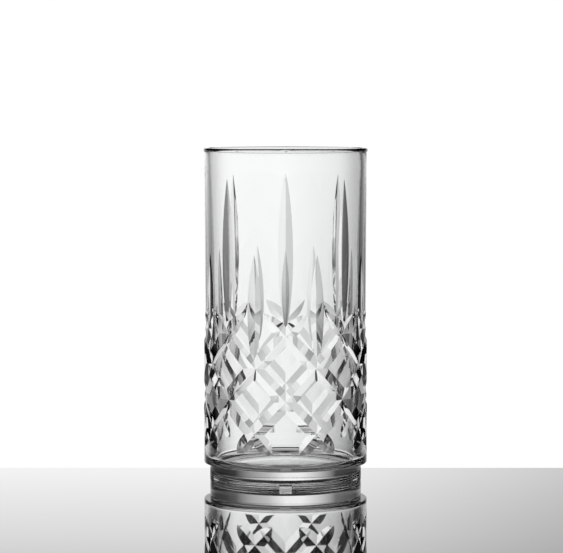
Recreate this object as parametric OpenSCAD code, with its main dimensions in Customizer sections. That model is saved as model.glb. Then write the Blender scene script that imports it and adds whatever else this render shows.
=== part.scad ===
// Highball glass with a diamond lattice and two rings of leaf flutes, on a recessed standing foot.
// It is one moulding. Each module below is one region of it, and neighbours meet face to face.
// Origin: centre of the standing plane. +Z points out of the mouth.

/* [Mouth] */
// Height of the glass from the standing plane to the lip
total_h = 148.4; // [135:0.2:170]
// Outside diameter of the bead round the mouth; the wall, lattice and foot follow it
bead_d = 73; // [64:0.5:84]
// Height of the bead
bead_h = 1.7; // [1.4:0.1:3]
// How far the bead stands proud of the wall
bead_proud = 0.45; // [0.2:0.05:1]
// Thickness of the wall in the drinking collar below the bead
mouth_wall = 2.45; // [2:0.05:3.5]
// Height of the drinking collar, whose inside is a true bore
land_h = 7.8; // [6:0.2:12]

/* [Wall] */
// How much the wall draws in from the bead down to the waist above the lattice
waist_draw = 0.25; // [0:0.05:1]
// How far the lattice and the heel stand proud of the waist
band_proud = 0.6; // [0.2:0.05:1.5]
// Thickness of the uncut wall at the cove inside, where the drafted wall is thickest
cove_wall = 5.6; // [4:0.1:7]

/* [Lattice] */
// Grooves of each hand in the diamond lattice, which is also the number of tall flutes
column_count = 8; // [6:1:10]
// Rows of groove crossings
row_count = 4; // [3:1:4]
// Rise from one row of crossings to the next
row_pitch = 14.4; // [12:0.2:16]
// Width of a lattice groove, measured across it
groove_w = 7; // [5:0.2:7.6]
// Depth of a lattice groove
groove_depth = 1.35; // [0.8:0.05:1.6]
// How far the grooves run on above the top row
arm_rise = 10; // [8:0.5:12]
// How far the grooves run on below the lowest row
arm_drop = 8.5; // [6:0.5:10]

/* [Flutes] */
// Gap between the tall flutes' upper tips and the drinking collar
tall_gap = 2.9; // [0.5:0.1:20]
// Width of the tall flutes at their middle
tall_w = 6.6; // [5:0.2:8]
// Depth of the tall flutes at their middle
tall_depth = 1.35; // [0.8:0.05:1.6]
// Length of the short flutes, which start a row lower than the tall ones
short_len = 49.6; // [40:0.4:60]
// Width of the short flutes at their middle
short_w = 6.4; // [5:0.2:8]
// Depth of the short flutes at their middle
short_depth = 1.3; // [0.8:0.05:1.6]

/* [Base] */
// How far the cup's floor lies below the top of the foot
floor_drop = 0.7; // [0.3:0.1:1.2]
// Radius of the cove between wall and floor
cove_r = 4; // [3:0.1:5]
// Height of the recessed foot
foot_h = 8.2; // [6.6:0.1:9]
// How far the foot stands in from the heel
foot_inset = 2.6; // [1.5:0.1:4]
// Width of the ring that the glass stands on
ring_w = 7; // [6:0.2:9]
// Depth of the recess inside the ring
recess_h = 3.4; // [3.3:0.1:4]
// Radius of the hollow round that leads from the ring's inside to the roof of the recess
recess_round = 2.8; // [1.5:0.1:2.9]
// Rounding of the heel's lower edge
heel_round = 0.3; // [0.2:0.1:1.5]
// Rounding of the standing ring's edges
ring_round = 0.5; // [0.2:0.05:0.6]
// Number of drain notches in the standing ring
notch_count = 4; // [2:1:6]
// Width of a drain notch
notch_w = 5.4; // [3:0.1:6.5]
// Height of a drain notch
notch_h = 1.8; // [1:0.1:2.2]

/* [Hidden] */

glass_color = [0.86, 0.90, 0.92, 0.5];

// Facets of the plain turned regions, and of the two regions that carry cuts
turned_fn = 180;
cut_fn = 72;
// Steps round each turned fillet
fillet_steps = 6;
// Steps from one row of crossings to the next, and in each tapering arm. The second hand's steps
// differ by one, so that the two hands' edges never meet by chance
row_steps = 6;
arm_steps = 5;
// Steps along a flute
flute_steps = 12;
// How far cutters stand out of the surface they cut
overrun = 0.8;
// How far a flute's tips stand off the surface, so that its keel runs cleanly out of the glass
tip_lift = 0.02;
// How sharply the lattice arms run out above and below: 1 is straight, higher stays deep for longer
arm_power = 2.5;
drop_power = 4.5;

// Plain glass left between the cove's top and the heel region's top, and from there to the grooves' tips
cove_gap = 4.06;
tip_gap = 0.34;

bead_r = bead_d / 2;
collar_r = bead_r - bead_proud;
waist_r = collar_r - waist_draw;
band_r = waist_r + band_proud;
land_r = collar_r - mouth_wall;
cup_r = band_r - cove_wall;
foot_r = band_r - foot_inset;
ring_r = foot_r - ring_w;
floor_r = cup_r - cove_r;
disc_r = ring_r - recess_round;

bead_z = total_h - bead_h;
land_z = bead_z - land_h;
floor_z = foot_h - floor_drop;
cove_z = floor_z + cove_r;
// Angle on the cove at which it passes the top of the foot, where the heel meets the standing ring
cove_split = asin(floor_drop / cove_r - 1);
// The cuts end just above this height, and so do the two regions that carry them
heel_z = cove_z + cove_gap;
first_row_z = heel_z + tip_gap + arm_drop;
top_row_z = first_row_z + (row_count - 1) * row_pitch;
second_row_z = top_row_z - row_pitch;
tall_tip_z = land_z - tall_gap;
short_tip_z = second_row_z + short_len;
column_step = 360 / column_count;
// Lean of the grooves from the upright
groove_lean = atan2(band_r * sin(column_step / 2), row_pitch);
// The cut regions' facets are turned so that none of their edges runs through a crossing
cut_turn = 360 / cut_fn / 3;

// The wall swells from the waist to the lattice in one smooth curve over this stretch
swell_top_z = top_row_z + arm_rise;
swell_bottom_z = second_row_z + row_pitch / 4;
// Height at which the lattice region ends, just above the grooves' upper tips
split_z = swell_top_z + groove_depth;
// Outward lean of the bead's inner edge
lip_flare = (bead_r - land_r) / 6;
lip_round = bead_h / 2;

// Outside radius of the uncut glass at height z
function outer_r(z) =
    z >= swell_top_z ? waist_r + (collar_r - waist_r) * (z - swell_top_z) / (bead_z - swell_top_z)
    : z <= swell_bottom_z ? band_r
    : band_r + (waist_r - band_r)
        * (1 - cos(180 * (z - swell_bottom_z) / (swell_top_z - swell_bottom_z))) / 2;

// Inside radius of the cup at height z, above the cove
function inner_r(z) = z >= land_z ? land_r : cup_r + (land_r - cup_r) * (z - cove_z) / (land_z - cove_z);

// Points of an arc about a centre, from one angle to another
function arc(centre, r, from, to) =
    [for (i = [0:fillet_steps]) let (a = from + (to - from) * i / fillet_steps)
        [centre[0] + r * cos(a), centre[1] + r * sin(a)]];

// Section of a V cut at [azimuth, height, depth], square to a cut that leans from the upright.
// The spread is the V's half width for each unit of depth
function cut_section(p, lean, spread) =
    let (surface = outer_r(p[1]), half = (p[2] + overrun) * spread)
    [for (q = [[surface - p[2], 0], [surface + overrun, half], [surface + overrun, -half]])
        [q[0] * sin(p[0]) + q[1] * cos(lean) * cos(p[0]),
            q[1] * cos(lean) * sin(p[0]) - q[0] * cos(p[0]),
            p[1] + q[1] * sin(lean)]];

// A V cut along a path of [azimuth, height, depth], one convex wedge for each step
module mitre_cut(path, lean, spread) {
    for (i = [1:len(path) - 1])
        hull() polyhedron(
            points = concat(cut_section(path[i - 1], lean, spread), cut_section(path[i], lean, spread)),
            faces = [[0, 1, 2], [5, 4, 3], [0, 3, 4, 1], [1, 4, 5, 2], [2, 5, 3, 0]]);
}

// A leaf flute between two tips: its keel is an arc, so its outline is a leaf
function flute_path(azimuth, low_z, high_z, depth) =
    [for (i = [0:flute_steps]) let (t = 2 * i / flute_steps - 1)
        [azimuth, low_z + (high_z - low_z) * i / flute_steps, depth * (1 - t * t) - tip_lift]];

module tall_flutes() {
    for (k = [0:column_count - 1])
        mitre_cut(flute_path(k * column_step, top_row_z, tall_tip_z, tall_depth), 0, tall_w / 2 / tall_depth);
}

module short_flutes() {
    for (k = [0:column_count - 1])
        mitre_cut(
            flute_path((k + 1 / 2) * column_step, second_row_z, short_tip_z, short_depth),
            0, short_w / 2 / short_depth);
}

// Heights along one groove of the lattice, with the depth there as a share of the full depth
function groove_heights(rows, arms) = concat(
    [for (i = [arms:-1:1]) [first_row_z - arm_drop * i / arms, 1 - pow(i / arms, drop_power)]],
    [for (i = [0:(row_count - 1) * rows]) [first_row_z + row_pitch * i / rows, 1]],
    [for (i = [1:arms]) [top_row_z + arm_rise * i / arms, 1 - pow(i / arms, arm_power)]]);

// All the grooves of one hand: each passes half a column sideways for every row
module lattice_grooves(hand, rows, arms) {
    for (k = [0:column_count - 1])
        mitre_cut(
            [for (g = groove_heights(rows, arms))
                [k * column_step + hand * (top_row_z - g[0]) / row_pitch * column_step / 2, g[0],
                    g[1] * groove_depth]],
            hand * groove_lean, groove_w / 2 / groove_depth);
}

// The uncut wall between two heights, a turned ring
module turned_wall(low_z, high_z) {
    swell = [for (i = [1:fillet_steps - 1]) swell_bottom_z + (swell_top_z - swell_bottom_z) * i / fillet_steps];
    outside = concat([low_z], [for (z = concat([swell_bottom_z], swell, [swell_top_z]))
        if (z > low_z && z < high_z) z], [high_z]);
    rotate(cut_turn) rotate_extrude($fn = cut_fn)
        polygon(concat(
            [for (z = outside) [outer_r(z), z]],
            [[inner_r(high_z), high_z], [inner_r(low_z), low_z]]));
}

// The bead that stiffens the mouth, with a fire-polished lip
module lip_bead() {
    color(glass_color)
        rotate_extrude($fn = turned_fn)
            polygon(concat(
                [[land_r, bead_z]],
                arc([collar_r, bead_z + bead_r - collar_r], bead_r - collar_r, -90, 0),
                arc([bead_r - lip_round, total_h - lip_round], lip_round, 0, 90),
                arc([land_r + lip_flare + lip_round, total_h - lip_round], lip_round, 90, 180)));
}

// The plain collar you drink from, with a true bore inside
module drinking_collar() {
    color(glass_color)
        rotate_extrude($fn = turned_fn)
            polygon([
                [land_r, land_z], [outer_r(land_z), land_z], [collar_r, bead_z], [land_r, bead_z]]);
}

// The wall above the lattice, with most of the flutes in it
module fluted_wall() {
    color(glass_color)
        difference() {
            turned_wall(split_z, land_z);
            tall_flutes();
            short_flutes();
        }
}

// The wall that carries the diamond lattice and the flutes' lower ends
module lattice_wall() {
    color(glass_color)
        difference() {
            turned_wall(heel_z, split_z);
            lattice_grooves(1, row_steps, arm_steps);
            lattice_grooves(-1, row_steps - 1, arm_steps + 1);
            tall_flutes();
            short_flutes();
        }
}

// The thick ring at the bottom of the wall, overhanging the foot, with most of the cove inside
module heel() {
    color(glass_color)
        rotate_extrude($fn = turned_fn)
            polygon(concat(
                arc([band_r - heel_round, foot_h + heel_round], heel_round, -90, 0),
                [[band_r, heel_z], [inner_r(heel_z), heel_z]],
                arc([floor_r, cove_z], cove_r, 0, cove_split)));
}

// The thick bottom of the cup, down to the recess
module floor_disc() {
    color(glass_color)
        translate([0, 0, recess_h])
            cylinder(r = disc_r, h = floor_z - recess_h, $fn = turned_fn);
}

// The recessed ring that the glass stands on, hollow-rounded inside, with its drain notches
module standing_ring() {
    color(glass_color)
        difference() {
            rotate_extrude($fn = turned_fn)
                polygon(concat(
                    arc([ring_r + ring_round, ring_round], ring_round, 180, 270),
                    arc([foot_r - ring_round, ring_round], ring_round, -90, 0),
                    [[foot_r, foot_h]],
                    arc([floor_r, cove_z], cove_r, cove_split, -90),
                    [[disc_r, floor_z]],
                    arc([disc_r, recess_h - recess_round], recess_round, 90, 0)));
            for (k = [0:notch_count - 1])
                rotate(360 * k / notch_count)
                    translate([-notch_w / 2, -foot_r - overrun, -overrun])
                        cube([notch_w, overrun + ring_w + recess_round, notch_h + overrun]);
        }
}

lip_bead();
drinking_collar();
fluted_wall();
lattice_wall();
heel();
floor_disc();
standing_ring();
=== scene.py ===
import logging
import math
from dataclasses import dataclass, field
from enum import IntEnum

import bpy
import numpy as np
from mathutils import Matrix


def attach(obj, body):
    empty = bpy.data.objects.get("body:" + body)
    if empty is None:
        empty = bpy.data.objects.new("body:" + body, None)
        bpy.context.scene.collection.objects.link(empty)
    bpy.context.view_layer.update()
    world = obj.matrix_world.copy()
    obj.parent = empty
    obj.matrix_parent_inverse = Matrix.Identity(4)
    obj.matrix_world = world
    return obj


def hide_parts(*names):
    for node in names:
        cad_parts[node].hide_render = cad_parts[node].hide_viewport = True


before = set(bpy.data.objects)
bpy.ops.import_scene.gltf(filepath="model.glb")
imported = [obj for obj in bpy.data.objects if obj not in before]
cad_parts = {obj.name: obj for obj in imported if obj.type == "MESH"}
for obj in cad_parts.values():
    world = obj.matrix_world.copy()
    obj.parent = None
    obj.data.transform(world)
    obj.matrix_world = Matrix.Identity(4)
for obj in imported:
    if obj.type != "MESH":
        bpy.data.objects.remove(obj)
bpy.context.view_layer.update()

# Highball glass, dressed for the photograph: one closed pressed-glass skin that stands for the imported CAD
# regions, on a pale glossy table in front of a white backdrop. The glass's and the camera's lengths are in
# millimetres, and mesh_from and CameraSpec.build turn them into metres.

LOG = logging.getLogger("highball")
MM = 0.001
# A difference under this counts as zero, and nothing is divided by less
TINY = 1e-12
Array = np.ndarray


# Sizes, repeated from the CAD source


@dataclass(frozen=True)
class GlassSpec:
    """Sizes of the uncut tumbler, in millimetres.

    The names follow the CAD source. Radii are measured from the glass's axis. The ease sizes soften the
    edge between the lip and the bore, and lip_end is the angle in degrees at which the lip's inner arc stops.
    """

    total_h: float = 148.4
    bead_r: float = 36.5
    bead_h: float = 1.7
    land_r: float = 33.6
    land_h: float = 7.8
    collar_r: float = 36.05
    waist_r: float = 35.8
    band_r: float = 36.4
    cup_r: float = 30.8
    floor_z: float = 7.5
    cove_r: float = 4.0
    foot_h: float = 8.2
    foot_r: float = 33.8
    ring_w: float = 7.0
    recess_h: float = 3.4
    recess_round: float = 2.8
    heel_round: float = 0.3
    ring_round: float = 0.5
    notch_count: int = 4
    notch_w: float = 5.4
    notch_h: float = 1.8
    ease_in: float = 0.12
    ease_up: float = 0.25
    ease_down: float = 0.4
    lip_end: float = 170.0

    @property
    def bead_z(self) -> float:
        """Height of the bead's lower edge."""
        return self.total_h - self.bead_h

    @property
    def land_z(self) -> float:
        """Height of the drinking collar's lower end."""
        return self.bead_z - self.land_h

    @property
    def ring_r(self) -> float:
        """Inner radius of the standing ring."""
        return self.foot_r - self.ring_w

    @property
    def disc_r(self) -> float:
        """Radius of the flat roof of the recess, inside its hollow round."""
        return self.ring_r - self.recess_round

    @property
    def cove_z(self) -> float:
        """Height at which the inside's cove meets its taper."""
        return self.floor_z + self.cove_r


@dataclass(frozen=True)
class PatternSpec:
    """Sizes of the cut pattern, in millimetres. The swell is full swell_rows rows under the top crossings."""

    columns: int = 8
    rows: int = 4
    first_row_z: float = 24.4
    row_pitch: float = 14.4
    groove_w: float = 7.0
    groove_depth: float = 1.35
    arm_rise: float = 10.0
    arm_drop: float = 8.5
    arm_power: float = 2.5
    drop_power: float = 4.5
    tall_tip_z: float = 136.0
    tall_w: float = 6.6
    tall_depth: float = 1.35
    short_tip_z: float = 102.8
    short_w: float = 6.4
    short_depth: float = 1.3
    swell_rows: float = 0.75

    @property
    def half_column(self) -> float:
        """Degrees from one crossing to the next crossing of the neighbouring row."""
        return 180.0 / self.columns

    @property
    def top_row_z(self) -> float:
        """Height of the top row of crossings."""
        return self.first_row_z + (self.rows - 1) * self.row_pitch

    @property
    def second_row_z(self) -> float:
        """Height of the second row of crossings from the top, where the short flutes end."""
        return self.top_row_z - self.row_pitch


@dataclass(frozen=True)
class MeshDetail:
    """How finely the skin is meshed.

    Pitches and margins are in millimetres, and steps and rows are counts. The land and cup margins are the
    heights left without rows at the ends of the bore and of the taper under it. The shares are places on the
    floor, on the roof of the recess and across the standing ring. notch_reach counts half widths of a notch.
    """

    cells_per_row: int = 24
    plain_pitch: float = 1.5
    below_arms: float = 0.3
    above_arms: float = 0.6
    above_tips: float = 0.4
    small_arc_steps: int = 5
    lip_steps: int = 8
    cove_steps: int = 14
    recess_steps: int = 8
    notch_steps: int = 6
    heel_steps: int = 10
    land_rows: int = 4
    cup_rows: int = 34
    land_top_margin: float = 2.0
    land_foot_margin: float = 0.5
    cup_top_margin: float = 0.5
    cup_foot_margin: float = 1.0
    floor_shares: tuple[float, ...] = (0.95, 0.8, 0.6, 0.4, 0.2, 0.05, 0.0)
    recess_shares: tuple[float, ...] = (0.05, 0.3, 0.6, 0.9)
    ring_shares: tuple[float, ...] = (0.2, 0.4, 0.6, 0.8)
    notch_reach: float = 4.0


# The analytic cut surface


class Sheet(IntEnum):
    """The smooth sheets whose lower envelope is the outside of the wall.

    The numbers are the order in which CutSurface stacks the sheets.
    """

    BLANK = 0
    GROOVE_RIGHT = 1
    GROOVE_LEFT = 2
    TALL_FLUTE = 3
    SHORT_FLUTE = 4


class CutSurface:
    """Outside radius of the wall as a lower envelope of smooth sheets.

    With theta the azimuth in degrees (0 towards the camera, growing to its right) and z the height,
    the uncut wall is R(z) and each family of V cuts c has the sheet

        r_c(theta, z) = R(z) - D_c f_c(z) + s_c |x_c(theta, z)|

    where x_c is the distance across the nearest cut of the family, measured on the band's radius, D_c the
    depth, s_c = D_c / half width the slope of the V's sides and f_c the share of the depth, taken at the
    nearest point of the keel. Grooves hold f = 1 over the lattice and run out as 1 - t**p along their arms.
    Flutes have f = 1 - t**2 between their tips. The glass's surface is the smallest of all the sheets.
    """

    def __init__(self, glass: GlassSpec, pattern: PatternSpec) -> None:
        """Works out the swell's ends and the direction of the grooves.

        Args:
            glass: Sizes of the uncut tumbler.
            pattern: Sizes of the cut pattern.
        """
        self.glass = glass
        self.pattern = pattern
        self.swell_top = pattern.top_row_z + pattern.arm_rise
        self.swell_bottom = pattern.top_row_z - pattern.swell_rows * pattern.row_pitch
        run = math.radians(pattern.half_column) * glass.band_r
        reach = math.hypot(run, pattern.row_pitch)
        self.across, self.along = pattern.row_pitch / reach, run / reach
        self.degree = math.radians(1.0) * glass.band_r

    def blank(self, z: Array) -> Array:
        """Radius of the uncut wall.

        Args:
            z: Heights.

        Returns:
            R(z): a cone from the waist up, a cosine swell below it and a cylinder under the lattice.
        """
        g = self.glass
        upper = g.waist_r + (g.collar_r - g.waist_r) * (z - self.swell_top) / (g.bead_z - self.swell_top)
        share = np.clip((z - self.swell_bottom) / (self.swell_top - self.swell_bottom), 0.0, 1.0)
        swell = g.band_r + (g.waist_r - g.band_r) * (1.0 - np.cos(np.pi * share)) / 2.0
        return np.where(z >= self.swell_top, upper, swell)

    def _fold(self, theta: Array) -> Array:
        """Folds an angle into half a column on either side of the nearest cut."""
        step = 2.0 * self.pattern.half_column
        return (theta + step / 2.0) % step - step / 2.0

    def _groove_share(self, z: Array) -> Array:
        """Share of a groove's depth along its keel.

        Args:
            z: Heights on the keel.

        Returns:
            The share at each height, negative beyond the tips.
        """
        p = self.pattern
        above = np.clip((z - p.top_row_z) / p.arm_rise, 0.0, None)
        below = np.clip((p.first_row_z - z) / p.arm_drop, 0.0, None)
        return 1.0 - above**p.arm_power - below**p.drop_power

    @staticmethod
    def _flute_share(z: Array, low: float, high: float) -> Array:
        """Share of a flute's depth between its two tips, negative beyond them."""
        t = 2.0 * (z - low) / (high - low) - 1.0
        return 1.0 - t * t

    def sheet(self, which: Array, theta: Array, z: Array) -> Array:
        """Radius of the named sheets.

        Args:
            which: Sheet numbers, one for each point.
            theta: Azimuths in degrees.
            z: Heights.

        Returns:
            The radius of that sheet at each point.
        """
        return np.take_along_axis(self.all_sheets(theta, z), np.asarray(which)[None, ...], axis=0)[0]

    def offset_across(self, which: Array, theta: Array, z: Array) -> Array:
        """Signed distance across the nearest cut of each point's sheet, 0 on the blank."""
        return np.take_along_axis(self._offsets(theta, z), np.asarray(which)[None, ...], axis=0)[0]

    def _offsets(self, theta: Array, z: Array) -> Array:
        """Signed distance across the nearest cut of every sheet.

        Args:
            theta: Azimuths in degrees.
            z: Heights.

        Returns:
            The distance for each sheet and point, with the sheets on the first axis.
        """
        p = self.pattern
        lead = p.half_column * (p.top_row_z - z) / p.row_pitch
        return np.stack([
            np.zeros_like(theta),
            self._fold(theta - lead) * self.degree * self.across,
            self._fold(theta + lead) * self.degree * self.across,
            self._fold(theta) * self.degree,
            self._fold(theta - p.half_column) * self.degree,
        ])

    def all_sheets(self, theta: Array, z: Array) -> Array:
        """Radius of every sheet.

        Args:
            theta: Azimuths in degrees.
            z: Heights.

        Returns:
            The radius for each sheet and point, with the sheets on the first axis.
        """
        p, blank = self.pattern, self.blank(z)
        _, off_right, off_left, off_tall, off_short = self._offsets(theta, z)
        cuts = (
            (off_right, self._groove_share(z - off_right * self.along), p.groove_w, p.groove_depth),
            (off_left, self._groove_share(z + off_left * self.along), p.groove_w, p.groove_depth),
            (off_tall, self._flute_share(z, p.top_row_z, p.tall_tip_z), p.tall_w, p.tall_depth),
            (off_short, self._flute_share(z, p.second_row_z, p.short_tip_z), p.short_w, p.short_depth),
        )
        return np.stack([blank] + [
            blank - depth * share + depth / (width / 2.0) * np.abs(off) for off, share, width, depth in cuts])


# Mesh building


@dataclass
class Patch:
    """A triangle mesh with a smoothing group for each triangle.

    Attributes:
        points: Positions, shape (n, 3), in millimetres.
        triangles: Corner indices, shape (m, 3), anticlockwise seen from outside.
        groups: Smoothing group of each triangle, shape (m,).
    """

    points: Array
    triangles: Array
    groups: Array

    @staticmethod
    def joined(patches: "list[Patch]", tolerance: float = 1e-5) -> "Patch":
        """Joins patches into one mesh, with coinciding points merged and empty triangles dropped.

        Args:
            patches: The patches to join.
            tolerance: Grid on which two points count as one.

        Returns:
            One patch.
        """
        shifts = np.cumsum([0] + [len(p.points) for p in patches[:-1]])
        points = np.concatenate([p.points for p in patches])
        triangles = np.concatenate([p.triangles + s for p, s in zip(patches, shifts)])
        groups = np.concatenate([p.groups for p in patches])
        _, first, inverse = np.unique(
            np.round(points / tolerance).astype(np.int64), axis=0, return_index=True, return_inverse=True)
        triangles = inverse.reshape(-1)[triangles]
        a, b, c = triangles.T
        whole = (a != b) & (b != c) & (c != a)
        return Patch(points[first], triangles[whole], groups[whole])

    def corner_normals(self) -> Array:
        """Normals of every triangle corner.

        The normal of point v in group g is the sum of the area vectors of the group's triangles round v,
        brought to unit length, so a crease appears exactly where two groups meet.

        Returns:
            Unit normals, shape (m * 3, 3).
        """
        a, b, c = (self.points[self.triangles[:, i]] for i in range(3))
        area = np.cross(b - a, c - a)
        size = int(self.groups.max()) + 1
        key = (self.triangles * size + self.groups[:, None]).reshape(-1)
        _, inverse = np.unique(key, return_inverse=True)
        total = np.zeros((inverse.max() + 1, 3))
        for axis in range(3):
            total[:, axis] = np.bincount(inverse, weights=np.repeat(area[:, axis], 3))
        normals = total[inverse]
        return normals / np.maximum(np.linalg.norm(normals, axis=1, keepdims=True), TINY)


class SkinGroup(IntEnum):
    """Smoothing groups of the turned regions. Cut sheets take 2 * sheet and 2 * sheet + 1."""

    OUTSIDE = 0
    MOUTH = 20
    FOOT = 21
    RECESS = 22
    NOTCH_ROOF = 23
    NOTCH_SIDE = 24


def polar(radius: Array, theta: Array, z: Array) -> Array:
    """Points from radius, azimuth in degrees and height: (r sin t, -r cos t, z)."""
    angle = np.radians(theta)
    return np.stack([radius * np.sin(angle), -radius * np.cos(angle), z], axis=-1)


class LatticeMesher:
    """Meshes the cut wall so that every keel and every edge of a cut lies on mesh edges.

    The grid is staggered: row j holds the azimuths (2 i + j mod 2) d, with the rows one fine pitch apart, so
    both hands of the lattice's keels, which climb half a column for each row pitch, run along grid edges.
    Above the lattice the rows stand further apart. Each grid point is labelled with the sheet that is lowest
    there. A triangle whose corners differ in label is divided where the two sheets are equal, and one with
    three labels also gets the point where all three meet. A crossing within SNAP of an edge's end is moved
    onto that end, and no share of a triple point is under LEAST_SHARE.
    """

    TIE_BREAK = 1e-9
    SNAP = 0.02
    LEAST_SHARE = 0.05

    def __init__(self, surface: CutSurface, detail: MeshDetail) -> None:
        """Works out the heights of the rows and the step between columns.

        Args:
            surface: The cut surface that is meshed.
            detail: How finely it is meshed.
        """
        self.surface = surface
        self.fine = fine = detail.cells_per_row
        p = surface.pattern
        self.pitch = p.row_pitch / fine
        self.step = p.half_column / fine
        low = math.ceil((p.arm_drop + detail.below_arms) / self.pitch)
        high = math.ceil((p.arm_rise + detail.above_arms) / self.pitch) + (p.rows - 1) * fine
        heights = p.first_row_z + self.pitch * np.arange(-low, high + 1)
        room = p.tall_tip_z + detail.above_tips - heights[-1]
        count = max(1, round(room / detail.plain_pitch))
        self.heights = np.concatenate([heights, heights[-1] + room / count * np.arange(1, count + 1)])
        self.parity = (np.arange(len(self.heights)) - low + (p.rows - 1) * fine) % 2
        self.per_row = round(360.0 / (2.0 * self.step))

    def row_azimuths(self, row: int) -> Array:
        """Azimuths of one row's grid points, in degrees."""
        return (2.0 * np.arange(self.per_row) + self.parity[row]) * self.step

    def build(self) -> Patch:
        """Builds the cut wall.

        Returns:
            The wall between the lowest and the highest row.
        """
        theta, z, triangles = self._grid()
        order = self.TIE_BREAK * np.arange(len(Sheet))[:, None]
        labels = np.argmin(self.surface.all_sheets(theta, z) + order, axis=0)
        theta, z, triangles, sheets = self._divide(theta, z, labels, triangles)
        radius = self.surface.all_sheets(theta, z).min(axis=0)
        centre_theta = self._centre_azimuth(theta[triangles])
        centre_z = z[triangles].mean(axis=1)
        side = self.surface.offset_across(sheets, centre_theta, centre_z) > 0.0
        groups = np.where(sheets == Sheet.BLANK, SkinGroup.OUTSIDE, 2 * sheets + side)
        return Patch(polar(radius, theta, z), triangles, groups)

    @staticmethod
    def _centre_azimuth(corners: Array) -> Array:
        """Mean azimuth of each triangle, minding the seam at 0 and 360 degrees."""
        base = corners[:, :1]
        return (base + (corners - base + 180.0) % 360.0 - 180.0).mean(axis=1)

    def _grid(self) -> tuple[Array, Array, Array]:
        """Lays out the staggered grid.

        Returns:
            Azimuths, heights and triangles.
        """
        rows, n = len(self.heights), self.per_row
        theta = np.concatenate([self.row_azimuths(j) for j in range(rows)])
        z = np.repeat(self.heights, n)
        row = np.repeat(np.arange(rows), n)
        i = np.tile(np.arange(n), rows)
        left = row * n + i
        right = row * n + (i + 1) % n
        middle = (i + self.parity[row]) % n
        above = (row + 1) * n + middle
        below = (row - 1) * n + middle
        place = (2 * i + self.parity[row] + 1) % self.fine
        upright = (place == 0) & (row > 0) & (row < rows - 1)
        has_above, has_below = row < rows - 1, row > 0
        flat_up = np.stack([left, right, above], 1)[has_above & ~upright]
        flat_down = np.stack([left, below, right], 1)[has_below & ~upright]
        tall_left = np.stack([left, below, above], 1)[upright]
        tall_right = np.stack([below, right, above], 1)[upright]
        return theta, z, np.concatenate([flat_up, flat_down, tall_left, tall_right])

    def _divide(self, theta: Array, z: Array, labels: Array, triangles: Array
                ) -> tuple[Array, Array, Array, Array]:
        """Divides the triangles where the lowest sheet changes.

        Args:
            theta: Azimuths of the grid points.
            z: Heights of the grid points.
            labels: Lowest sheet at each grid point.
            triangles: Grid triangles.

        Returns:
            Azimuths, heights, triangles and the sheet of each triangle.
        """
        corner = labels[triangles]
        same = (corner[:, 0] == corner[:, 1]) & (corner[:, 1] == corner[:, 2])
        mixed, mixed_labels = triangles[~same], corner[~same]

        edges = np.sort(np.concatenate([mixed[:, [0, 1]], mixed[:, [1, 2]], mixed[:, [2, 0]]]), axis=1)
        edges = np.unique(edges, axis=0)
        edges = edges[labels[edges[:, 0]] != labels[edges[:, 1]]]
        a, b = edges.T
        span = (theta[b] - theta[a] + 180.0) % 360.0 - 180.0
        end_theta = theta[a] + span
        radius_on = self.surface.sheet
        gap_a = radius_on(labels[a], theta[a], z[a]) - radius_on(labels[b], theta[a], z[a])
        gap_b = radius_on(labels[a], end_theta, z[b]) - radius_on(labels[b], end_theta, z[b])
        share = np.clip(gap_a / np.where(np.abs(gap_a - gap_b) < TINY, -TINY, gap_a - gap_b), 0.0, 1.0)
        fresh = (share > self.SNAP) & (share < 1.0 - self.SNAP)
        number = np.where(share < 0.5, a, b)
        number[fresh] = len(theta) + np.arange(fresh.sum())
        theta = np.concatenate([theta, (theta[a] + share * span)[fresh]])
        z = np.concatenate([z, (z[a] + share * (z[b] - z[a]))[fresh]])
        crossing = {"a": a, "b": b, "number": number}

        pieces, sheets = [triangles[same]], [corner[same][:, 0]]
        two = [mixed_labels[:, (k + 1) % 3] == mixed_labels[:, (k + 2) % 3] for k in range(3)]
        for k in range(3):
            pick = two[k]
            t, s = np.roll(mixed[pick], -k, axis=1), np.roll(mixed_labels[pick], -k, axis=1)
            ab, ac = self._lookup(crossing, t[:, 0], t[:, 1]), self._lookup(crossing, t[:, 0], t[:, 2])
            pieces += [np.stack([t[:, 0], ab, ac], 1), np.stack([ab, t[:, 1], t[:, 2]], 1),
                       np.stack([ab, t[:, 2], ac], 1)]
            sheets += [s[:, 0], s[:, 1], s[:, 1]]

        three = ~(two[0] | two[1] | two[2])
        t, s = mixed[three], mixed_labels[three]
        if len(t):
            meet_theta, meet_z = self._triple_points(theta, z, t, s)
            centre = len(theta) + np.arange(len(t))
            theta, z = np.concatenate([theta, meet_theta]), np.concatenate([z, meet_z])
            for k in range(3):
                corner_k, after, before = t[:, k], t[:, (k + 1) % 3], t[:, (k + 2) % 3]
                pieces += [np.stack([corner_k, self._lookup(crossing, corner_k, after), centre], 1),
                           np.stack([corner_k, centre, self._lookup(crossing, corner_k, before)], 1)]
                sheets += [s[:, k], s[:, k]]

        triangles, sheet = np.concatenate(pieces), np.concatenate(sheets)
        x, y, w = triangles.T
        whole = (x != y) & (y != w) & (w != x)
        return theta, z, triangles[whole], sheet[whole]

    @staticmethod
    def _lookup(crossing: dict, a: Array, b: Array) -> Array:
        """Finds the crossings on edges.

        Args:
            crossing: The divided edges' ends a and b, and the point numbers of their crossings.
            a: One end of each edge that is looked up.
            b: The other end.

        Returns:
            The point number of each edge's crossing.
        """
        low, high = np.minimum(a, b), np.maximum(a, b)
        base = int(max(crossing["b"].max(), high.max() if len(high) else 0)) + 1
        keys = crossing["a"].astype(np.int64) * base + crossing["b"]
        return crossing["number"][np.searchsorted(keys, low.astype(np.int64) * base + high)]

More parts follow.
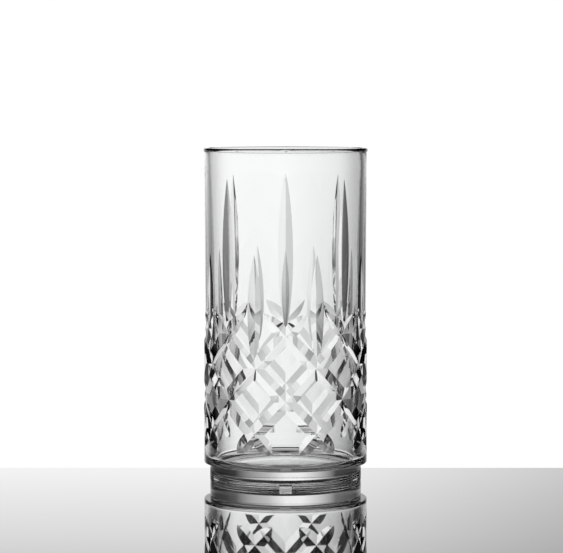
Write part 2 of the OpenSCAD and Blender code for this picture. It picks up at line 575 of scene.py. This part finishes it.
    def _triple_points(self, theta: Array, z: Array, triangles: Array, sheets: Array) -> tuple[Array, Array]:
        """Points where three sheets are equal, each kept inside its triangle.

        The sheets are taken as linear over the triangle, which leaves two equations in two barycentric
        shares.

        Args:
            theta: Azimuths of the grid points.
            z: Heights of the grid points.
            triangles: Triangles whose three corners differ in sheet.
            sheets: The sheets of their corners.

        Returns:
            Azimuth and height of each triangle's point.
        """
        base = theta[triangles[:, 0]]
        corner_theta = base[:, None] + (theta[triangles] - base[:, None] + 180.0) % 360.0 - 180.0
        corner_z = z[triangles]
        radius_on = self.surface.sheet
        value = np.stack([
            np.stack([radius_on(sheets[:, s], corner_theta[:, c], corner_z[:, c]) for c in range(3)], 1)
            for s in range(3)], 1)
        first, second = value[:, 0] - value[:, 1], value[:, 0] - value[:, 2]
        system = np.stack([first[:, 1:] - first[:, :1], second[:, 1:] - second[:, :1]], 1)
        system += self.TIE_BREAK * np.eye(2)
        target = -np.stack([first[:, 0], second[:, 0]], 1)
        share = np.linalg.solve(system, target[..., None])[..., 0]
        share = np.concatenate([1.0 - share.sum(axis=1, keepdims=True), share], axis=1)
        share = np.clip(share, self.LEAST_SHARE, None)
        share /= share.sum(axis=1, keepdims=True)
        return (share * corner_theta).sum(axis=1), (share * corner_z).sum(axis=1)


@dataclass
class ProfilePoint:
    """A point of a turned profile.

    Attributes:
        r: Radius.
        z: Height.
        group: Smoothing group of the strip that leads to the next point.
    """

    r: float
    z: float
    group: int


@dataclass
class Profile:
    """A turned profile, walked so that the glass lies to the right of the path."""

    points: list[ProfilePoint] = field(default_factory=list)

    def line(self, r: float, z: float, group: int) -> "Profile":
        """Adds one point."""
        self.points.append(ProfilePoint(r, z, int(group)))
        return self

    def arc(self, centre: tuple[float, float], radius: float, start: float, end: float, steps: int,
            group: int) -> "Profile":
        """Adds the points of an arc, (c_r + R cos a, c_z + R sin a).

        Args:
            centre: Radius c_r and height c_z of the arc's centre.
            radius: The arc's own radius R.
            start: First angle a, in degrees.
            end: Last angle a, in degrees.
            steps: Number of steps along the arc.
            group: Smoothing group of the arc's strips.

        Returns:
            The profile itself.
        """
        for angle in np.radians(np.linspace(start, end, steps + 1)):
            self.line(centre[0] + radius * math.cos(angle), centre[1] + radius * math.sin(angle), group)
        return self

    def arrays(self) -> tuple[Array, Array, Array]:
        """Radii, heights and strip groups."""
        return (np.array([p.r for p in self.points]), np.array([p.z for p in self.points]),
                np.array([p.group for p in self.points[:-1]]))


def strips(points: Array, groups: Array) -> Patch:
    """Joins the columns of a closed grid of points into triangles.

    Args:
        points: Positions, shape (rows, columns, 3). Row 0 is the start of the profile.
        groups: Smoothing group of each strip between two rows, shape (rows - 1, columns).

    Returns:
        A patch whose triangles face to the left of the walk.
    """
    rows, columns = points.shape[:2]
    index = np.arange(rows * columns).reshape(rows, columns)
    a, b = index[:-1], np.roll(index, -1, axis=1)[:-1]
    c, d = np.roll(index, -1, axis=1)[1:], index[1:]
    triangles = np.concatenate(
        [np.stack([a, b, c], -1).reshape(-1, 3), np.stack([a, c, d], -1).reshape(-1, 3)])
    return Patch(points.reshape(-1, 3), triangles, np.concatenate([groups.reshape(-1)] * 2))


class TumblerMesher:
    """Meshes the whole skin: the cut wall, the mouth and inside above it, and the heel and foot below it."""

    SAME = 1e-6

    def __init__(self, glass: GlassSpec, pattern: PatternSpec, detail: MeshDetail) -> None:
        """Sets up the cut surface and its mesher.

        Args:
            glass: Sizes of the uncut tumbler.
            pattern: Sizes of the cut pattern.
            detail: How finely the skin is meshed.
        """
        self.glass = glass
        self.detail = detail
        self.surface = CutSurface(glass, pattern)
        self.lattice = LatticeMesher(self.surface, detail)

    def build(self) -> Patch:
        """Builds the closed skin."""
        return Patch.joined([self.lattice.build(), self._mouth_and_cup(), self._heel_and_foot()])

    def _mouth_and_cup(self) -> Patch:
        """Meshes the bead and the inside.

        Returns:
            The skin from the wall's upper row over the bead and down to the middle of the floor.
        """
        g, d = self.glass, self.detail
        start = float(self.lattice.heights[-1])
        start_r = float(self.surface.blank(np.array(start)))
        roll, lip = g.bead_r - g.collar_r, g.bead_h / 2.0
        flare = (g.bead_r - g.land_r) / 6.0
        mouth, outside = SkinGroup.MOUTH, SkinGroup.OUTSIDE
        path = Profile()
        path.line(start_r, start, outside)
        path.line((g.collar_r + start_r) / 2, (start + g.bead_z) / 2, outside)
        path.line(g.collar_r, g.bead_z, mouth)
        path.arc((g.collar_r, g.bead_z + roll), roll, -90.0, 0.0, d.small_arc_steps, mouth)
        path.arc((g.bead_r - lip, g.total_h - lip), lip, 0.0, 90.0, d.lip_steps, mouth)
        path.arc((g.land_r + flare + lip, g.total_h - lip), lip, 90.0, g.lip_end, d.lip_steps, mouth)
        path.line(g.land_r + g.ease_in, g.bead_z + g.ease_up, mouth)
        path.line(g.land_r, g.bead_z - g.ease_down, mouth)
        for z in np.linspace(g.bead_z - d.land_top_margin, g.land_z + d.land_foot_margin, d.land_rows):
            path.line(g.land_r, float(z), mouth)
        taper = (g.land_r - g.cup_r) / (g.land_z - g.cove_z)
        for z in np.linspace(g.land_z - d.cup_top_margin, g.cove_z + d.cup_foot_margin, d.cup_rows):
            path.line(g.cup_r + taper * (float(z) - g.cove_z), float(z), mouth)
        path.arc((g.cup_r - g.cove_r, g.cove_z), g.cove_r, 0.0, -90.0, d.cove_steps, mouth)
        for share in d.floor_shares:
            path.line(share * (g.cup_r - g.cove_r), g.floor_z, mouth)
        radius, z, groups = path.arrays()
        theta = self.lattice.row_azimuths(len(self.lattice.heights) - 1)
        grid = polar(radius[:, None], theta[None, :], np.broadcast_to(z[:, None], (len(z), len(theta))))
        return strips(grid, np.broadcast_to(groups[:, None], (len(groups), len(theta))))

    def _foot_profile(self) -> Profile:
        """Draws the profile of the foot.

        Returns:
            The profile from the middle of the recess out under the foot and up to the wall's lowest row.
        """
        g, d = self.glass, self.detail
        start = float(self.lattice.heights[0])
        foot, outside, recess = SkinGroup.FOOT, SkinGroup.OUTSIDE, SkinGroup.RECESS
        path = Profile()
        path.line(0.0, g.recess_h, recess)
        for share in d.recess_shares:
            path.line(share * g.disc_r, g.recess_h, recess)
        low = g.recess_h - g.recess_round
        roof = math.degrees(math.asin(np.clip((g.notch_h - low) / g.recess_round, 0.0, 1.0)))
        path.arc((g.disc_r, low), g.recess_round, 90.0, roof, d.recess_steps, recess)
        path.arc((g.disc_r, low), g.recess_round, roof, 0.0, d.notch_steps, recess)
        path.arc((g.ring_r + g.ring_round, g.ring_round), g.ring_round, 180.0, 270.0, d.small_arc_steps, foot)
        for share in d.ring_shares:
            path.line(g.ring_r + g.ring_w * share, 0.0, foot)
        path.arc((g.foot_r - g.ring_round, g.ring_round), g.ring_round, -90.0, 0.0, d.small_arc_steps, foot)
        path.line(g.foot_r, g.notch_h, foot)
        path.line(g.foot_r, (g.notch_h + g.foot_h) / 2, foot)
        path.line(g.foot_r, g.foot_h, outside)
        heel_centre = (g.band_r - g.heel_round, g.foot_h + g.heel_round)
        path.arc(heel_centre, g.heel_round, -90.0, 0.0, d.heel_steps, outside)
        path.line(g.band_r, (g.foot_h + g.heel_round + start) / 2, outside)
        return path.line(g.band_r, start, outside)

    def _heel_and_foot(self) -> Patch:
        """Meshes the heel, the foot and its notches.

        The standing ring's notches are columns of the same grid whose lower points are lifted to the notch's
        roof. A column on a notch's edge is doubled, once lowered and once lifted, and the strip between the
        two is the notch's side. Columns near a notch are shifted so that its sides stay parallel: at radius r
        the side lies at arcsin(w / 2 r). The shift fades out with height, and away from the notch up to
        notch_reach half widths from its middle.

        Returns:
            The skin from the middle of the recess out under the foot and up to the wall's lowest row.
        """
        g = self.glass
        radius, z, groups = self._foot_profile().arrays()

        base = self.lattice.row_azimuths(0)
        pitch = 360.0 / g.notch_count
        folded = (base + pitch / 2) % pitch - pitch / 2
        edge = math.degrees(math.asin(g.notch_w / 2 / g.foot_r))
        edge_column = folded[np.argmin(np.abs(folded - edge))]
        on_edge = np.isclose(np.abs(folded), edge_column, atol=self.SAME)
        order = np.repeat(np.arange(len(base)), np.where(on_edge, 2, 1))
        second = np.concatenate([[False], order[1:] == order[:-1]])
        doubled = on_edge[order]
        folded = folded[order]
        lifted = (np.abs(folded) < edge_column - self.SAME) | (doubled & (second == (folded < 0)))

        in_ring = z < g.notch_h + self.SAME
        lift = in_ring[:, None] & lifted[None, :]
        height = np.where(lift, g.notch_h, z[:, None])
        top = np.where(radius < g.ring_r + g.ring_w / 2, g.recess_h, g.foot_h)
        blend = np.clip((top - z) / (top - g.notch_h), 0.0, 1.0)
        theta = base[order][None, :] + self._notch_shift(radius, folded, edge_column) * blend[:, None]

        grid = polar(radius[:, None], theta, height)
        table = np.broadcast_to(groups[:, None], (len(groups), len(order))).copy()
        both = lifted & np.roll(lifted, -1)
        side = doubled & np.roll(doubled, -1) & (order == np.roll(order, -1))
        strip_in_ring = in_ring[:-1] & in_ring[1:]
        table[strip_in_ring[:, None] & both[None, :]] = SkinGroup.NOTCH_ROOF
        table[strip_in_ring[:, None] & side[None, :]] = SkinGroup.NOTCH_SIDE
        return strips(grid, table)

    def _notch_shift(self, radius: Array, folded: Array, edge_column: float) -> Array:
        """Turn of each grid point that keeps the notches' sides parallel.

        Args:
            radius: Radii of the profile's points.
            folded: Azimuths of the columns from the nearest notch's middle, in degrees.
            edge_column: Azimuth of the column on a notch's edge.

        Returns:
            Shifts in degrees, shape (points, columns).
        """
        g = self.glass
        side = np.degrees(np.arcsin(g.notch_w / 2 / np.maximum(radius, g.disc_r)))[:, None]
        reach = self.detail.notch_reach * edge_column
        magnitude = np.abs(folded)[None, :]
        inside = magnitude * side / edge_column
        outside = side + (magnitude - edge_column) * (reach - side) / (reach - edge_column)
        warped = np.where(magnitude <= edge_column, inside, outside)
        warped = np.where(magnitude < reach, warped, magnitude)
        return np.sign(folded)[None, :] * (warped - magnitude)


# Blender objects


def mesh_from(patch: Patch, name: str) -> bpy.types.Mesh:
    """Makes a Blender mesh in metres, with the patch's creases as custom corner normals.

    Args:
        patch: The mesh, in millimetres.
        name: Name of the mesh.

    Returns:
        The mesh.
    """
    mesh = bpy.data.meshes.new(name)
    count = len(patch.triangles)
    mesh.vertices.add(len(patch.points))
    mesh.vertices.foreach_set("co", (patch.points * MM).astype(np.float32).ravel())
    mesh.loops.add(3 * count)
    mesh.loops.foreach_set("vertex_index", patch.triangles.astype(np.int32).ravel())
    mesh.polygons.add(count)
    mesh.polygons.foreach_set("loop_start", np.arange(0, 3 * count, 3, dtype=np.int32))
    mesh.polygons.foreach_set("use_smooth", np.ones(count, dtype=bool))
    mesh.update(calc_edges=True)
    mesh.normals_split_custom_set(patch.corner_normals().tolist())
    return mesh


def link(obj: bpy.types.Object) -> bpy.types.Object:
    """Links an object to the scene."""
    bpy.context.scene.collection.objects.link(obj)
    return obj


class NodeTree:
    """A small helper that adds and wires shader nodes by name."""

    def __init__(self, tree: bpy.types.NodeTree) -> None:
        """Takes the node tree that is filled."""
        self.tree = tree
        self.column = 0

    def add(self, kind: str, inputs: dict | None = None, **attributes: object) -> bpy.types.Node:
        """Adds a node, sets its attributes and fills its inputs.

        Args:
            kind: Node type, such as ShaderNodeMath.
            inputs: Input values or output sockets to link, by input name or number.
            attributes: Node attributes, such as operation.

        Returns:
            The node.
        """
        node = self.tree.nodes.new(kind)
        self.column += 1
        node.location = (180.0 * (self.column % 12), -220.0 * (self.column // 12))
        for key, value in attributes.items():
            setattr(node, key, value)
        for key, value in (inputs or {}).items():
            socket = node.inputs[key]
            if isinstance(value, bpy.types.NodeSocket):
                self.tree.links.new(value, socket)
            else:
                socket.default_value = value
        return node

    def math(self, operation: str, *values: object, clamp: bool = False) -> bpy.types.NodeSocket:
        """Adds a Math node and returns its output."""
        node = self.add("ShaderNodeMath", dict(enumerate(values)), operation=operation, use_clamp=clamp)
        return node.outputs[0]


def fresh_material(name: str) -> tuple[bpy.types.Material, NodeTree]:
    """Makes a material with an empty node tree.

    Args:
        name: Name of the material.

    Returns:
        The material and the helper that fills its tree.
    """
    material = bpy.data.materials.new(name)
    material.use_nodes = True
    material.node_tree.nodes.clear()
    return material, NodeTree(material.node_tree)


def grey(level: float) -> tuple[float, float, float, float]:
    """A grey of the given level."""
    return (level, level, level, 1.0)


@dataclass(frozen=True)
class PressedGlass:
    """Clear pressed soda-lime glass: fire-polished, with faint handling wear as patches of roughness."""

    tint: tuple[float, float, float, float] = (0.985, 0.992, 0.99, 1.0)
    ior: float = 1.5
    smear_scale: float = 55.0
    smear_detail: float = 4.0
    smear_roughness: float = 0.6
    smear_low: float = 0.52
    smear_high: float = 0.8
    most_worn: float = 0.03

    def build(self) -> bpy.types.Material:
        """Makes the material.

        Returns:
            The material.
        """
        material, tree = fresh_material("pressed_glass")
        shader = tree.add("ShaderNodeBsdfPrincipled")
        tree.add("ShaderNodeOutputMaterial", {"Surface": shader.outputs[0]})
        place = tree.add("ShaderNodeTexCoord").outputs["Object"]
        smear = tree.add("ShaderNodeTexNoise", {
            "Vector": place, "Scale": self.smear_scale, "Detail": self.smear_detail,
            "Roughness": self.smear_roughness})
        worn = tree.add("ShaderNodeMapRange", {
            "Value": smear.outputs[0], "From Min": self.smear_low, "From Max": self.smear_high,
            "To Min": 0.0, "To Max": self.most_worn})
        shader.inputs["Base Color"].default_value = self.tint
        shader.inputs["Transmission Weight"].default_value = 1.0
        shader.inputs["IOR"].default_value = self.ior
        tree.tree.links.new(worn.outputs[0], shader.inputs["Roughness"])
        return material


@dataclass(frozen=True)
class TableGloss:
    """Polished table top: a mirror along its surface, with a pale base that is seen from above.

    The mirror's weight is gain * F, where F is the Fresnel reflectance of acrylic, as if the backdrop stood
    that much brighter than white behind it. The gain is 1 + camera_gain to the camera and 1 otherwise. The
    pale base fades out towards grazing views, where only the mirror is seen over a dark base, and is shown to
    camera and transmission rays only. A glow_share of the pale base is painted light, an emission rather than
    lit colour, which lifts the shadow of clear glass on it so that it stays soft.
    """

    ior: float = 1.49
    camera_gain: float = 1.25
    roughness: float = 0.02
    fade_from: float = 0.82
    fade_to: float = 0.775
    dark: float = 0.006
    pale: float = 0.8
    # Share of the pale base that is painted light: an emission that lifts the glass's shadow on the table
    glow_share: float = 0.2

    def build(self) -> bpy.types.Material:
        """Makes the material.

        Returns:
            The material.
        """
        material, tree = fresh_material("table_gloss")
        path = tree.add("ShaderNodeLightPath").outputs
        facing = tree.add("ShaderNodeLayerWeight", {"Blend": 0.5}).outputs["Facing"]
        fresnel = tree.add("ShaderNodeFresnel", {"IOR": self.ior}).outputs[0]
        gain = tree.math("MULTIPLY_ADD", path["Is Camera Ray"], self.camera_gain, 1.0)
        mirror = tree.math("MULTIPLY", fresnel, gain, clamp=True)
        steep = tree.add("ShaderNodeMapRange", {
            "Value": facing, "From Min": self.fade_from, "From Max": self.fade_to}).outputs[0]
        seen = tree.math("MAXIMUM", path["Is Camera Ray"], path["Is Transmission Ray"])
        pale_share = tree.math("MULTIPLY", steep, seen)
        dark = tree.add("ShaderNodeBsdfDiffuse", {"Color": grey(self.dark)})
        lit = tree.add("ShaderNodeBsdfDiffuse", {"Color": grey(self.pale)})
        # Painted light: this emission glows in the pale base and lifts the shadow of the glass on the table
        glow = tree.add("ShaderNodeEmission", {"Strength": 1.0})
        pale = tree.add("ShaderNodeMixShader", {0: self.glow_share, 1: lit.outputs[0], 2: glow.outputs[0]})
        base = tree.add("ShaderNodeMixShader", {0: pale_share, 1: dark.outputs[0], 2: pale.outputs[0]})
        gloss = tree.add("ShaderNodeBsdfGlossy", {"Color": grey(1.0), "Roughness": self.roughness})
        top = tree.add("ShaderNodeMixShader", {0: mirror, 1: base.outputs[0], 2: gloss.outputs[0]})
        tree.add("ShaderNodeOutputMaterial", {"Surface": top.outputs[0]})
        return material


@dataclass(frozen=True)
class GlassObject:
    """The glass: one skin that stands for all the CAD regions."""

    glass: GlassSpec = GlassSpec()
    pattern: PatternSpec = PatternSpec()
    detail: MeshDetail = MeshDetail()
    finish: PressedGlass = PressedGlass()
    nodes: tuple[str, ...] = (
        "lip_bead", "drinking_collar", "fluted_wall", "lattice_wall", "heel", "floor_disc", "standing_ring")

    def build(self) -> bpy.types.Object:
        """Builds the skin, gives it its material and makes it stand for the CAD nodes.

        Returns:
            The skin's object.
        """
        patch = TumblerMesher(self.glass, self.pattern, self.detail).build()
        LOG.info("skin: %d points, %d triangles", len(patch.points), len(patch.triangles))
        skin = link(bpy.data.objects.new("glass_skin", mesh_from(patch, "glass_skin")))
        skin.data.materials.append(self.finish.build())
        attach(skin, "root")
        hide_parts(*self.nodes)
        return skin


@dataclass(frozen=True)
class CameraSpec:
    """The camera, fitted to the photograph.

    Position and lens are in millimetres, the pitch below the horizon in degrees and the clipping in metres.
    """

    x: float = -1.8
    y: float = -1119.0
    z: float = 169.7
    pitch: float = 4.02
    lens: float = 160.75
    sensor: float = 36.0
    near: float = 0.01
    far: float = 50.0

    def build(self) -> None:
        """Adds the camera and makes it the scene's own."""
        data = bpy.data.cameras.new("photo_camera")
        data.lens, data.sensor_width, data.sensor_fit = self.lens, self.sensor, "HORIZONTAL"
        data.clip_start, data.clip_end = self.near, self.far
        camera = link(bpy.data.objects.new("photo_camera", data))
        camera.location = (self.x * MM, self.y * MM, self.z * MM)
        camera.rotation_euler = (math.radians(90.0 - self.pitch), 0.0, 0.0)
        bpy.context.scene.camera = camera


@dataclass(frozen=True)
class SoftLight:
    """One soft light of the surroundings.

    Attributes:
        ring: Levels round the horizon, as pairs of azimuth in degrees from behind the glass and level.
        fall: Shares over the height, as pairs of elevation in degrees and share.
    """

    ring: tuple[tuple[float, float], ...]
    fall: tuple[tuple[float, float], ...]


BACKDROP_MIDDLE = SoftLight(
    ring=((-30, 0.0), (-18, 0.5), (-8, 0.95), (0, 0.95), (9, 0.5), (30, 0.0)),
    fall=((-45, 0.0), (-20, 0.9), (-6, 1.0), (8, 0.95), (10.5, 0.8), (11.5, 0.0)))
BACKDROP_SIDES = SoftLight(
    ring=((-75, 0.25), (-40, 0.3), (-28, 0.45), (-18, 0.4), (-9, 0.1),
          (0, 0.05), (18, 0.35), (40, 0.1), (75, 0.2)),
    fall=((-12, 0.0), (-5, 0.9), (0, 1.0), (5, 0.4), (10, 0.0)))
ROOM_BEHIND_CAMERA = SoftLight(
    ring=((-180, 0.7), (-90, 0.75), (-60, 0.0), (60, 0.0), (90, 0.4), (180, 0.7)),
    fall=((-20, 0.0), (-12, 1.0), (6, 1.0), (11, 0.3), (20, 0.35), (35, 0.0)))
UNDER_HORIZON = SoftLight(
    ring=((-180, 0.7), (-90, 0.9), (-55, 0.65), (-28, 1.0),
          (0, 0.0), (18, 0.7), (28, 0.8), (55, 0.45), (180, 0.7)),
    fall=((-22, 1.0), (-12, 0.0)))


@dataclass(frozen=True)
class Studio:
    """The table, the surrounding light and the white background. Lengths are in metres, the lamp in watts."""

    table_edge: float = 0.034
    table_width: float = 3.0
    table_depth: float = 1.6
    table_thickness: float = 0.02
    table_finish: TableGloss = TableGloss()
    softbox_size: float = 1.6
    softbox_height: float = 1.2
    softbox_power: float = 27.0
    lights: tuple[SoftLight, ...] = (BACKDROP_MIDDLE, BACKDROP_SIDES, ROOM_BEHIND_CAMERA, UNDER_HORIZON)

    def build(self) -> None:
        """Adds everything round the glass."""
        self._table()
        self._world()
        self._softbox()
        bpy.context.scene.view_settings.view_transform = "Standard"

    def _table(self) -> None:
        """Adds a slab with its top at height 0, whose far edge lies just behind the glass's foot."""
        half, edge = self.table_width / 2, self.table_edge
        near, low = edge - self.table_depth, -self.table_thickness
        corners = [(x, y, z) for z in (low, 0.0) for y in (near, edge) for x in (-half, half)]
        faces = [(0, 2, 3, 1), (4, 5, 7, 6), (0, 1, 5, 4), (2, 6, 7, 3), (0, 4, 6, 2), (1, 3, 7, 5)]
        mesh = bpy.data.meshes.new("table")
        mesh.from_pydata(corners, [], faces)
        table = link(bpy.data.objects.new("table", mesh))
        table.data.materials.append(self.table_finish.build())

    def _softbox(self) -> None:
        """A wide soft lamp overhead, which lights the table alone and gives the glass its shadow there."""
        lamp = bpy.data.lights.new("softbox", "AREA")
        lamp.shape, lamp.size, lamp.energy = "DISK", self.softbox_size, self.softbox_power
        softbox = link(bpy.data.objects.new("softbox", lamp))
        softbox.location = (0.0, 0.0, self.softbox_height)
        softbox.visible_camera = softbox.visible_glossy = softbox.visible_transmission = False

    def _world(self) -> None:
        """Surrounding light: white to the camera, and to everything else the sum of four soft lights.

        With phi the azimuth from the direction behind the glass and e the elevation, the level is

            L(phi, e) = sum over the lights k of A_k(phi) * E_k(e)

        where A_k is the light's level round the horizon and E_k its share over the elevation.
        """
        world = bpy.data.worlds.new("studio")
        world.use_nodes = True
        world.node_tree.nodes.clear()
        tree = NodeTree(world.node_tree)
        way = tree.add("ShaderNodeTexCoord").outputs["Generated"]
        split = tree.add("ShaderNodeSeparateXYZ", {0: way}).outputs
        azimuth = tree.math("ARCTAN2", split[0], split[1])
        around = tree.math("MULTIPLY_ADD", azimuth, 0.5 / math.pi, 0.5)
        elevation = tree.math("ARCSINE", split[2])
        height = tree.math("MULTIPLY_ADD", elevation, 1.0 / math.pi, 0.5)
        level = 0.0
        for soft in self.lights:
            ring = self._ramp(tree, around, soft.ring, 360.0)
            fall = self._ramp(tree, height, soft.fall, 180.0)
            level = tree.math("MULTIPLY_ADD", ring, fall, level)
        path = tree.add("ShaderNodeLightPath").outputs
        light = tree.add("ShaderNodeBackground", {"Color": grey(1.0), "Strength": level})
        white = tree.add("ShaderNodeBackground", {"Color": grey(1.0), "Strength": 1.0})
        mix = tree.add("ShaderNodeMixShader", {
            0: path["Is Camera Ray"], 1: light.outputs[0], 2: white.outputs[0]})
        tree.add("ShaderNodeOutputWorld", {"Surface": mix.outputs[0]})
        bpy.context.scene.world = world

    @staticmethod
    def _ramp(tree: NodeTree, place: bpy.types.NodeSocket, stops: tuple, span: float) -> bpy.types.NodeSocket:
        """Adds a ramp of levels at angles, with angle 0 at the ramp's middle.

        Args:
            tree: The helper that fills the world's tree.
            place: Place along the ramp, from 0 to 1.
            stops: Pairs of angle in degrees and level.
            span: Degrees that the whole ramp covers.

        Returns:
            The level there, as a grey.
        """
        node = tree.add("ShaderNodeValToRGB", {0: place})
        ramp = node.color_ramp
        while len(ramp.elements) > 1:
            ramp.elements.remove(ramp.elements[-1])
        for number, (angle, level) in enumerate(stops):
            share = angle / span + 0.5
            element = ramp.elements[0] if number == 0 else ramp.elements.new(share)
            element.position = share
            element.color = grey(level)
        return node.outputs["Color"]


def main() -> None:
    """Builds the whole scene."""
    logging.basicConfig(level=logging.INFO, format="%(name)s: %(message)s")
    CameraSpec().build()
    skin = GlassObject().build()
    LOG.info("built %s", skin.name)
    Studio().build()


if __name__ == "__main__":
    main()
